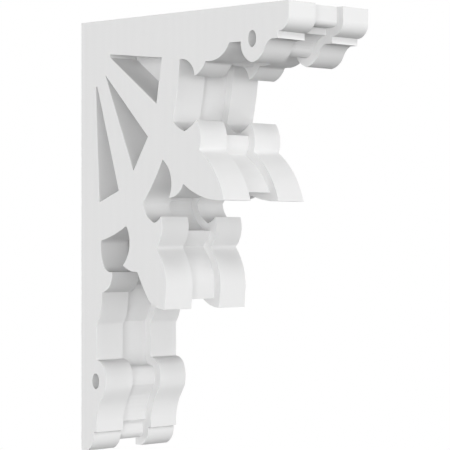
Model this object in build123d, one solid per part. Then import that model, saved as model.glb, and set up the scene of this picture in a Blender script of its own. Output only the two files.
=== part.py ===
from build123d import *
import math
import os

# Sizes of the corbel in millimetres
projection = 406.4
height = 609.6
side_thickness = 50.8
centre_thickness = 54.0

# Plain wood left behind and above the scrolls
wall_rail = 32.6
top_rail = 47.9

# How far the centre board stands back from the edges of the side boards
setback = 11.5

# Eye bored through each end scroll of a side board
eye_width = 14.4
eye_height = 22.0

# How far a cut runs past each face of a board
cut_past = 1.0

# A corner of the outline that turns less than this is taken as smooth
smooth_turn = 12.0

# Two points of the outline closer than this are the same
same_point = 0.01


def stretched(distance, drawn_rail, drawn_length, rail, length):
    """Distance on the corbel of a distance read off the sheet that the scrolls are drawn on"""
    if distance <= drawn_rail:
        return distance * rail / drawn_rail
    spread = (length - rail) / (drawn_length - drawn_rail)
    return rail + (distance - drawn_rail) * spread


def spot(x, z):
    """A point of the sheet, out from the wall and down from the top, as a point of the corbel"""
    out = stretched(x, drawn_rail=32.6, drawn_length=406.4, rail=wall_rail, length=projection)
    down = stretched(z, drawn_rail=47.9, drawn_length=609.6, rail=top_rail, length=height)
    return Vector(out, 0, height / 2 - down)


class Pencil:
    """Straight and round strokes that follow one another round an outline"""

    def __init__(self, x, z):
        self.at = spot(x, z)
        self.strokes = []

    def straight(self, x, z):
        end = spot(x, z)
        self.strokes.append(Edge.make_line(self.at, end))
        self.at = end

    def bow(self, via_x, via_z, x, z):
        end = spot(x, z)
        self.strokes.append(Edge.make_three_point_arc(self.at, spot(via_x, via_z), end))
        self.at = end


def upper_arm(pencil):
    """From the top of the front edge to the back of the upper bay"""
    pencil.straight(406.4, 19.4)
    # ovolo and fillet under the front edge
    pencil.bow(400.7, 33.1, 387.0, 38.8)
    pencil.straight(387.0, 47.9)
    pencil.straight(374.5, 47.9)
    # ogee into the end scroll
    pencil.bow(368.4, 51.8, 362.9, 59.0)
    pencil.bow(354.3, 70.6, 340.2, 76.5)
    pencil.bow(325.8, 67.6, 319.2, 47.9)
    # notch and the two lobes before the bay
    pencil.straight(298.1, 47.9)
    pencil.bow(284.4, 63.1, 262.6, 70.2)
    pencil.straight(253.0, 69.9)
    pencil.bow(244.2, 81.2, 232.0, 88.0)


def upper_bay(pencil):
    """Hollow between the upper arm and the upper leaf"""
    pencil.bow(222.4, 69.8, 203.0, 64.2)
    pencil.bow(198.5, 102.1, 189.3, 146.7)
    pencil.bow(200.6, 156.8, 212.8, 161.9)
    pencil.bow(226.4, 154.9, 235.4, 147.6)


def upper_leaf(pencil):
    """Bud and pointed leaf that reach out under the upper arm"""
    pencil.bow(243.4, 167.0, 241.0, 188.2)
    pencil.bow(271.0, 218.5, 288.2, 256.4)
    pencil.bow(248.3, 251.9, 210.0, 233.6)
    pencil.bow(199.0, 247.0, 181.8, 252.0)


def middle_bay(pencil):
    """Hollow between the two leaves"""
    pencil.bow(185.6, 223.3, 169.0, 199.4)
    pencil.bow(150.7, 230.7, 129.9, 258.2)
    pencil.bow(138.5, 277.0, 151.3, 285.6)
    pencil.bow(159.5, 283.0, 165.8, 277.2)


def lower_leaf(pencil):
    """Bud and blunt leaf that hang over the lower arm"""
    pencil.bow(167.9, 298.0, 156.4, 319.6)
    pencil.bow(171.0, 345.0, 176.3, 375.0)
    pencil.straight(173.8, 405.0)
    pencil.bow(155.2, 401.4, 141.0, 392.5)
    pencil.bow(128.6, 373.6, 118.0, 354.1)
    pencil.bow(101.5, 352.0, 88.2, 345.1)


def lower_bay(pencil):
    """Hollow between the lower leaf and the lower arm"""
    pencil.bow(101.7, 318.5, 95.1, 289.7)
    pencil.bow(70.2, 302.2, 42.9, 310.6)
    pencil.bow(42.6, 329.0, 48.6, 346.5)
    pencil.bow(55.5, 353.2, 65.4, 355.0)


def lower_arm(pencil):
    """Down the lower arm to the foot"""
    pencil.bow(61.0, 374.0, 44.4, 384.2)
    pencil.straight(43.6, 400.0)
    pencil.bow(40.4, 416.0, 32.6, 430.9)
    pencil.straight(32.6, 480.0)
    # end scroll and the ogee below it
    pencil.bow(45.2, 485.0, 51.2, 495.6)
    pencil.bow(53.2, 508.5, 50.8, 523.0)
    pencil.bow(46.4, 531.2, 41.2, 539.6)
    pencil.bow(36.0, 553.0, 33.2, 568.0)
    # fillet and ovolo of the foot
    pencil.straight(32.8, 582.4)
    pencil.straight(27.4, 582.4)
    pencil.bow(24.4, 599.2, 12.6, 609.6)


def front_strokes():
    """The sawn and carved front of a board, from the top of the front edge to the foot"""
    pencil = Pencil(406.4, 0)
    upper_arm(pencil)
    upper_bay(pencil)
    upper_leaf(pencil)
    middle_bay(pencil)
    lower_leaf(pencil)
    lower_bay(pencil)
    lower_arm(pencil)
    return pencil.strokes


def closed_outline(margin):
    """The front closed by the wall face and the top, both moved out by the margin"""
    front = front_strokes()
    start = front[0] @ 0
    end = front[-1] @ 1
    top_front = start + Vector(0, 0, margin)
    top_back = Vector(-margin, 0, height / 2 + margin)
    bottom_back = Vector(-margin, 0, end.Z)
    corners = [end, bottom_back, top_back, top_front]
    if margin > 0:
        corners.append(start)
    rest = [Edge.make_line(a, b) for a, b in zip(corners[:-1], corners[1:])]
    return Face(Wire(front + rest))


def flat_cut(points):
    """A flat shape with straight sides through the points"""
    return Face(Wire.make_polygon(points, close=True))


def fan_openings():
    """Three pierced rays that spread from the top corner at the wall"""
    upper = [spot(62.0, 48.6), spot(167.6, 59.7), spot(156.6, 122.0), spot(62.0, 53.0)]
    middle = [spot(51.2, 77.0), spot(139.6, 166.9), spot(110.2, 213.4)]
    lower = [spot(31.0, 93.0), spot(34.4, 93.0), spot(79.7, 240.5), spot(38.9, 256.4)]
    return [flat_cut(ray) for ray in (upper, middle, lower)]


def eyes():
    """Oval eye in the middle of each end scroll"""
    holes = []
    for centre in (spot(340.2, 45.4), spot(30.8, 510.1)):
        rim = Edge.make_ellipse(eye_height / 2, eye_width / 2)
        upright = Plane(origin=centre, x_dir=(0, 0, 1), z_dir=(0, -1, 0))
        holes.append(Face(Wire([rim])).moved(upright.location))
    return holes


def thicken(face, near_face, thickness):
    """A board cut to the shape of a face, from its near face on along the width"""
    return Solid.extrude(face.moved(Location((0, near_face, 0))), Vector(0, thickness, 0))


def through_cut(face, near_face, thickness):
    """What a cut of the shape of a face takes out of a board"""
    return thicken(face, near_face - cut_past, thickness + 2 * cut_past)


def side_board(near_face):
    board = thicken(closed_outline(0), near_face, side_thickness)
    for opening in fan_openings() + eyes():
        board = board - through_cut(opening, near_face, side_thickness)
    return board


def inner_corner_cuts():
    """What a sharp inner corner takes from the centre board beyond a round one; the one over the foot is a cove"""
    strokes = front_strokes()
    cove = spot(32.6, 480.0)
    cuts = []
    for before, after in zip(strokes[:-1], strokes[1:]):
        corner = before @ 1
        into_a = Vector(0, 1, 0).cross(before % 1).normalized()
        into_b = Vector(0, 1, 0).cross(after % 0).normalized()
        turn = into_a.cross(into_b).Y
        sharp = abs(turn) > math.sin(math.radians(smooth_turn))
        coved = (corner - cove).length < same_point
        if turn > 0 or not sharp or coved:
            continue
        reach = setback / (1 + into_a.dot(into_b))
        tip = corner + (into_a + into_b) * reach
        points = [corner, corner + into_a * setback, tip, corner + into_b * setback]
        cuts.append(flat_cut(points))
    return cuts


def centre_board():
    # spare wood behind and above keeps the wall face and the top flush
    whole = closed_outline(2 * setback)
    inner = offset(whole, amount=-setback, kind=Kind.ARC).faces()[0]
    near_face = -centre_thickness / 2
    board = thicken(inner, near_face, centre_thickness)
    for corner in inner_corner_cuts():
        board = board - through_cut(corner, near_face, centre_thickness)
    room = Box(projection, centre_thickness, height, align=(Align.MIN, Align.CENTER, Align.CENTER))
    return board & room


def save(shape, name):
    export_step(shape, "parts/" + name + ".step")


os.makedirs("parts", exist_ok=True)
left = side_board(-centre_thickness / 2 - side_thickness)
left.label = "left_side_board"
save(left, "left_side_board")
right = side_board(centre_thickness / 2)
right.label = "right_side_board"
save(right, "right_side_board")
centre = centre_board()
centre.label = "centre_board"
save(centre, "centre_board")
print("left", round(left.volume), "centre", round(centre.volume), "right", round(right.volume))
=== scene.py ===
import bmesh
import bpy
import math
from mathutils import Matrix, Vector


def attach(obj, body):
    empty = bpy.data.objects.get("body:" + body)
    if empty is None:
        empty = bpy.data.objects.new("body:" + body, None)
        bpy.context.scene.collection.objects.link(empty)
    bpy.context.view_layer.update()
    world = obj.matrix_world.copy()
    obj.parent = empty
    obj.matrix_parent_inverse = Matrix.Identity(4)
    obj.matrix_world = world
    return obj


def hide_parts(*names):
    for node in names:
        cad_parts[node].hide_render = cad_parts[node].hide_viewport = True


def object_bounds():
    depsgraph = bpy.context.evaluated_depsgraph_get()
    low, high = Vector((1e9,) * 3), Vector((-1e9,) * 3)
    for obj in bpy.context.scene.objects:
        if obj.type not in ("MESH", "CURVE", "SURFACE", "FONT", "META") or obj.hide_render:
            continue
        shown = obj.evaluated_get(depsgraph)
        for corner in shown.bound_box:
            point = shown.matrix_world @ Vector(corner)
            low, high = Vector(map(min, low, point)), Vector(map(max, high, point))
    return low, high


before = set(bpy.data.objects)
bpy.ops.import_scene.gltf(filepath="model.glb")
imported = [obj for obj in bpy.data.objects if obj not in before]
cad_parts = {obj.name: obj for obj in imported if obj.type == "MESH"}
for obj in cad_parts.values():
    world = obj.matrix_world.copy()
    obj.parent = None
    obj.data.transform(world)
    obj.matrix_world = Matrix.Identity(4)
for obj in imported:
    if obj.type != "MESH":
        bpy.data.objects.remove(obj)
cad_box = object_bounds()

MM = 0.001

# Places on the corbel: its middle, the face under the load, and the glued joints each side of the middle
MIDDLE = Vector((cad_box[1][0] / 2, 0, 0))
TOP_FACE = cad_box[1][2]
JOINT_PLANE = max(corner[1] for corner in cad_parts["centre_board"].bound_box)

# Corners eased with fine paper before the boards are glued and painted
EASED_EDGE = 0.7 * MM
EASED_STEPS = 4
CORNER_ANGLE = math.radians(26)
SAME_POINT = 0.004 * MM
SAME_PLANE = math.radians(0.2)

# Pull of the large faces on the shading beside them, where 50 is neutral
LARGE_FACE_PULL = 90

# Matt white paint, and how far its tone and roughness stray each way
PAINT_TONE = 0.75
TONE_STRAY = 0.006
PAINT_ROUGHNESS = 0.8
ROUGHNESS_STRAY = 0.04
PAINT_SHINE = 0.25

# How squarely a face looks sideways, from the sawn edges of a board to its flat faces
SAWN_TO_FLAT = (0.6, 0.9)

# Marks of the wood, in strokes to the metre: out from the wall, across the boards and up
GRAIN_STROKES = (420, 420, 14)
SAW_STROKES = (700, 22, 700)

# Growth rings, drawn long up the board and swayed by slow bends
RING_STROKES = (1, 1, 0.12)
RING_BENDS = (5, 5, 1.2)
RING_SWAY = 9
RING_SCALE = 18

# Marks of the paint, in spots to the metre
STIPPLE_SPOTS = 1400
CLOUD_SPOTS = 7

# Share of each mark in the tone, and the span of their sum from the darkest to the lightest
CLOUD_IN_TONE = 0.45
WORK_IN_TONE = 0.35
RINGS_IN_TONE = 0.2
TONE_SPAN = (0.2, 0.8)

# Share of each mark in the relief, and how far the paint lets it show
WORK_IN_RELIEF = 0.5
RINGS_IN_RELIEF = 0.05
STIPPLE_IN_RELIEF = 0.3
RELIEF_DEPTH = 0.12 * MM
RELIEF_SHOWING = 0.12

# Each board's own stretch of grain, as a shift of its marks
BOARD_GRAIN = {
    "left_side_board": (0.31, 0.12, 0.73),
    "centre_board": (1.47, 0.55, 0.21),
    "right_side_board": (2.09, 1.18, 1.36),
}

# Round pale floor, in metres
FLOOR_LEVEL = -2.6
FLOOR_RADIUS = 1.3
FLOOR_SIDES = 96
FLOOR_TONE = 0.93
# Share of plain white in what is seen of the floor; the rest keeps the shadow
FLOOR_WHITENESS = 0.8
# Shares of the radius where the floor starts to fade and where it is gone
FLOOR_FADE = (0.45, 0.95)

# Light from the room all round, and what its pale walls add level with the corbel
ROOM_LIGHT = 0.03
WALL_LIGHT = 2.07
# Height up or down, as a sine, where the light of the walls starts to fade and where it is gone
WALL_FADE = (0.1, 0.4)

# Far lamps: height above level and turn from straight in front, spread, strength
LAMPS = {
    "level_camera": ((0, -45), 10, 0.55),
    "level_behind": ((0, -130), 10, 0.13),
    "high_behind": ((60, 180), 20, 0.9),
    "low_side": ((-15, -60), 10, 0.48),
}
# A far lamp lights the same from any distance, so this only keeps it clear of the corbel
LAMP_AWAY = 3

# Near round softbox in front and above
SOFTBOX_WAY = (40, 0)
SOFTBOX_AWAY = 3.4
SOFTBOX_WIDTH = 0.9
SOFTBOX_STRENGTH = 0.92

# Photograph's viewpoint: a long lens level with the middle of the corbel
CAMERA_PLACE = (2.16653, -1.95411, 0.00422)
CAMERA_TURN = math.radians(45)
CAMERA_REACH = 50
LENS = 160.07
SENSOR = 36.0
LENS_SHIFT = 0.018924
# A camera looks straight down until it is turned up by this
UP_TO_LEVEL = math.radians(90)

# Sockets that a Mix node keeps for colours, by number because their names come more than once
MIX_AMOUNT = 0
MIX_FIRST = 6
MIX_SECOND = 7
MIX_RESULT = 2


class Wire:
    """A value in a finish, so that its sums read as plain sums"""

    def __init__(self, finish, socket):
        self.finish = finish
        self.socket = socket

    def sum(self, operation, *values):
        return self.finish.part("ShaderNodeMath", {"operation": operation}, dict(enumerate(values)))

    def __add__(self, other):
        return self.sum("ADD", self, other)

    def __radd__(self, other):
        return self.sum("ADD", other, self)

    def __sub__(self, other):
        return self.sum("SUBTRACT", self, other)

    def __rsub__(self, other):
        return self.sum("SUBTRACT", other, self)

    def __mul__(self, other):
        return self.sum("MULTIPLY", self, other)

    def __rmul__(self, other):
        return self.sum("MULTIPLY", other, self)

    def size(self):
        return self.sum("ABSOLUTE", self)

    def most(self, other):
        return self.sum("MAXIMUM", self, other)

    def ramp(self, low, high):
        """0 below low, 1 above high, smooth between"""
        inputs = {"Value": self, "From Min": low, "From Max": high}
        return self.finish.part("ShaderNodeMapRange", {"interpolation_type": "SMOOTHSTEP"}, inputs)


class Finish:
    """A material or world under construction"""

    def __init__(self, owner):
        owner.use_nodes = True
        self.tree = owner.node_tree
        self.tree.nodes.clear()

    def part(self, kind, settings=None, inputs=None, output=0):
        node = self.tree.nodes.new(kind)
        for name, value in (settings or {}).items():
            setattr(node, name, value)
        for name, value in (inputs or {}).items():
            if isinstance(value, Wire):
                self.tree.links.new(value.socket, node.inputs[name])
            else:
                node.inputs[name].default_value = value
        return Wire(self, node.outputs[output]) if node.outputs else None

    def place(self, shift, strokes=(1, 1, 1)):
        """Place on the object, counted in strokes to the metre and then shifted"""
        where = self.part("ShaderNodeTexCoord", output="Object")
        inputs = {"Vector": where, "Location": shift, "Scale": strokes}
        return self.part("ShaderNodeMapping", {"vector_type": "POINT"}, inputs)

    def noise(self, where, scale, detail, roughness):
        inputs = {"Vector": where, "Scale": scale, "Detail": detail, "Roughness": roughness}
        return self.part("ShaderNodeTexNoise", {"noise_dimensions": "3D"}, inputs)

    def blend(self, amount, first, second):
        """Colour between two colours"""
        inputs = {MIX_AMOUNT: amount, MIX_FIRST: first, MIX_SECOND: second}
        return self.part("ShaderNodeMix", {"data_type": "RGBA"}, inputs, output=MIX_RESULT)

    def cover(self, amount, under, over):
        """A surface or light with another one over it, which shows by an amount"""
        return self.part("ShaderNodeMixShader", {}, {0: amount, 1: under, 2: over})

    def glow(self, strength):
        """White light of a world"""
        return self.part("ShaderNodeBackground", {}, {"Color": grey(1), "Strength": strength})

    def seen(self):
        """1 for what is seen, straight, in a shine or through glass, and 0 for what lights the object"""
        straight = self.part("ShaderNodeLightPath", output="Is Camera Ray")
        in_shine = self.part("ShaderNodeLightPath", output="Is Glossy Ray")
        through_glass = self.part("ShaderNodeLightPath", output="Is Transmission Ray")
        return straight.most(in_shine).most(through_glass)


def grey(tone):
    return (tone, tone, tone, 1)


def flat_faces(finish):
    """1 on the flat faces of a board, 0 on its sawn edges"""
    facing = finish.part("ShaderNodeTexCoord", output="Normal")
    sideways = finish.part("ShaderNodeSeparateXYZ", {}, {"Vector": facing}, output="Y")
    return sideways.size().ramp(*SAWN_TO_FLAT)


def growth_rings(finish, shift):
    """Growth rings that show as slow waves"""
    bend = finish.noise(finish.place(shift, RING_BENDS), scale=1, detail=2, roughness=0.5)
    settings = {"wave_type": "BANDS", "bands_direction": "X", "wave_profile": "SIN"}
    inputs = {"Vector": finish.place(shift, RING_STROKES), "Scale": RING_SCALE, "Distortion": 7,
              "Detail": 3, "Detail Scale": 1.2, "Phase Offset": bend * RING_SWAY}
    return finish.part("ShaderNodeTexWave", settings, inputs, output="Fac")


def painted_board(name, shift):
    """Matt white paint over planed and sawn softwood, with the board's own stretch of grain"""
    material = bpy.data.materials.new(name)
    finish = Finish(material)
    flat = flat_faces(finish)
    rings = growth_rings(finish, shift)
    # raised grain of the flat faces, and fine lines of the saw across the edges, sanded and filled
    grain = finish.noise(finish.place(shift, GRAIN_STROKES), scale=1, detail=4, roughness=0.6)
    saw = finish.noise(finish.place(shift, SAW_STROKES), scale=1, detail=3, roughness=0.55)
    work = flat * grain + (1 - flat) * saw
    # stipple of the spray, and a slow change of tone
    stipple = finish.noise(finish.place(shift), scale=STIPPLE_SPOTS, detail=2, roughness=0.5)
    cloud = finish.noise(finish.place(shift), scale=CLOUD_SPOTS, detail=4, roughness=0.55)
    tone = CLOUD_IN_TONE * cloud + WORK_IN_TONE * work + RINGS_IN_TONE * rings
    darkest = grey(PAINT_TONE - TONE_STRAY)
    lightest = grey(PAINT_TONE + TONE_STRAY)
    relief = WORK_IN_RELIEF * work + RINGS_IN_RELIEF * flat * rings + STIPPLE_IN_RELIEF * stipple
    shader = finish.part("ShaderNodeBsdfPrincipled", {}, {
        "Base Color": finish.blend(tone.ramp(*TONE_SPAN), darkest, lightest),
        "Roughness": PAINT_ROUGHNESS - ROUGHNESS_STRAY + 2 * ROUGHNESS_STRAY * work,
        "Specular IOR Level": PAINT_SHINE,
        "Normal": finish.part("ShaderNodeBump", {}, {
            "Height": relief, "Strength": RELIEF_SHOWING, "Distance": RELIEF_DEPTH}),
    })
    finish.part("ShaderNodeOutputMaterial", {}, {"Surface": shader})
    return material


def mesh_of(form, name):
    mesh = bpy.data.meshes.new(name)
    form.to_mesh(mesh)
    form.free()
    return mesh


def add_object(name, data):
    thing = bpy.data.objects.new(name, data)
    bpy.context.scene.collection.objects.link(thing)
    return thing


def paper_reaches(edge, node):
    """Whether an edge is an outer corner that the paper reaches"""
    if not (edge.is_manifold and edge.is_convex and edge.calc_face_angle() > CORNER_ANGLE):
        return False
    ends = [v.co for v in edge.verts]
    in_joint = all(abs(abs(end.y) - JOINT_PLANE) < SAME_POINT for end in ends)
    at_wall = all(end.x < SAME_POINT for end in ends)
    at_top = all(end.z > TOP_FACE - SAME_POINT for end in ends)
    # at a joint the centre board stays sharp, and so do the wall face and the top, which are flush
    return not in_joint or (node != "centre_board" and not at_wall and not at_top)


def eased_form(node):
    """The shape of a board with its outer corners eased"""
    form = bmesh.new()
    form.from_mesh(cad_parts[node].data)
    bmesh.ops.remove_doubles(form, verts=form.verts, dist=SAME_POINT)
    bmesh.ops.dissolve_limit(form, angle_limit=SAME_PLANE, verts=form.verts, edges=form.edges)
    corners = [edge for edge in form.edges if paper_reaches(edge, node)]
    bmesh.ops.bevel(form, geom=corners, offset=EASED_EDGE, offset_type="OFFSET", segments=EASED_STEPS,
                    profile=0.5, affect="EDGES", clamp_overlap=True, material=-1)
    bmesh.ops.triangulate(form, faces=form.faces, quad_method="BEAUTY", ngon_method="BEAUTY")
    return form


def eased_board(node, shift):
    """A painted board with its outer corners eased and its curves smooth, in place of the plain one"""
    mesh = mesh_of(eased_form(node), node + "_eased")
    mesh.materials.append(painted_board(node + "_paint", shift))
    mesh.shade_smooth()
    mesh.set_sharp_from_angle(angle=CORNER_ANGLE)
    piece = add_object(node + "_eased", mesh)
    # keeps the flat faces flat right up to the eased corners
    even = piece.modifiers.new("even_shading", "WEIGHTED_NORMAL")
    even.keep_sharp = True
    even.weight = LARGE_FACE_PULL
    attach(piece, "root")
    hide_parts(node)


def pale_floor():
    """Pale matt floor that fades out towards its rim"""
    material = bpy.data.materials.new("pale_floor")
    finish = Finish(material)
    level = finish.place(-MIDDLE, (1, 1, 0))
    away = finish.part("ShaderNodeVectorMath", {"operation": "LENGTH"}, {0: level}, output="Value")
    fade = away.ramp(*(FLOOR_RADIUS * share for share in FLOOR_FADE))
    matt = finish.part("ShaderNodeBsdfDiffuse", {}, {"Color": grey(FLOOR_TONE)})
    white = finish.part("ShaderNodeEmission", {}, {"Color": grey(1), "Strength": 1})
    clear = finish.part("ShaderNodeBsdfTransparent")
    pale = finish.cover(FLOOR_WHITENESS * finish.seen(), matt, white)
    finish.part("ShaderNodeOutputMaterial", {}, {"Surface": finish.cover(fade, pale, clear)})
    return material


def studio_floor():
    """Round floor well below the corbel"""
    form = bmesh.new()
    bmesh.ops.create_circle(form, cap_ends=True, segments=FLOOR_SIDES, radius=FLOOR_RADIUS)
    bmesh.ops.translate(form, verts=form.verts, vec=(MIDDLE.x, MIDDLE.y, FLOOR_LEVEL))
    mesh = mesh_of(form, "studio_floor")
    mesh.materials.append(pale_floor())
    floor = add_object("studio_floor", mesh)


def studio_world():
    """White all round where it is seen, and pale walls and a dim room where it lights the object"""
    world = bpy.data.worlds.new("white_room")
    bpy.context.scene.world = world
    finish = Finish(world)
    way = finish.part("ShaderNodeTexCoord", output="Generated")
    high = finish.part("ShaderNodeSeparateXYZ", {}, {"Vector": way}, output="Z")
    walls = 1 - high.size().ramp(*WALL_FADE)
    light = finish.cover(walls, finish.glow(ROOM_LIGHT), finish.glow(ROOM_LIGHT + WALL_LIGHT))
    both = finish.cover(finish.seen(), light, finish.glow(1))
    finish.part("ShaderNodeOutputWorld", {}, {"Surface": both})


def put_light(name, light, way, away):
    """Puts a light so far from the middle of the corbel, looking at it"""
    high, turn = map(math.radians, way)
    towards = Vector((math.cos(high) * math.cos(turn), math.cos(high) * math.sin(turn), math.sin(high)))
    holder = add_object(name, light)
    holder.rotation_euler = towards.to_track_quat("Z", "Y").to_euler()
    holder.location = MIDDLE + towards * away


def lamp(name, way, spread, strength):
    light = bpy.data.lights.new(name, "SUN")
    light.angle = math.radians(spread)
    light.energy = strength
    put_light(name, light, way, LAMP_AWAY)


def softbox():
    light = bpy.data.lights.new("softbox", "AREA")
    light.shape = "DISK"
    light.size = SOFTBOX_WIDTH
    # lights the middle of the corbel as much as a far lamp of the same strength
    light.energy = SOFTBOX_STRENGTH * math.pi * SOFTBOX_AWAY ** 2
    put_light("softbox", light, SOFTBOX_WAY, SOFTBOX_AWAY)


def camera():
    lens = bpy.data.cameras.new("camera")
    lens.lens = LENS
    lens.sensor_width = SENSOR
    lens.shift_y = LENS_SHIFT
    lens.clip_end = CAMERA_REACH
    holder = add_object("camera", lens)
    holder.location = CAMERA_PLACE
    holder.rotation_euler = (UP_TO_LEVEL, 0, CAMERA_TURN)
    bpy.context.scene.camera = holder


bpy.context.scene.view_settings.view_transform = "Standard"
for node, shift in BOARD_GRAIN.items():
    eased_board(node, shift)
studio_floor()
studio_world()
for name, (way, spread, strength) in LAMPS.items():
    lamp(name, way, spread, strength)
softbox()
camera()
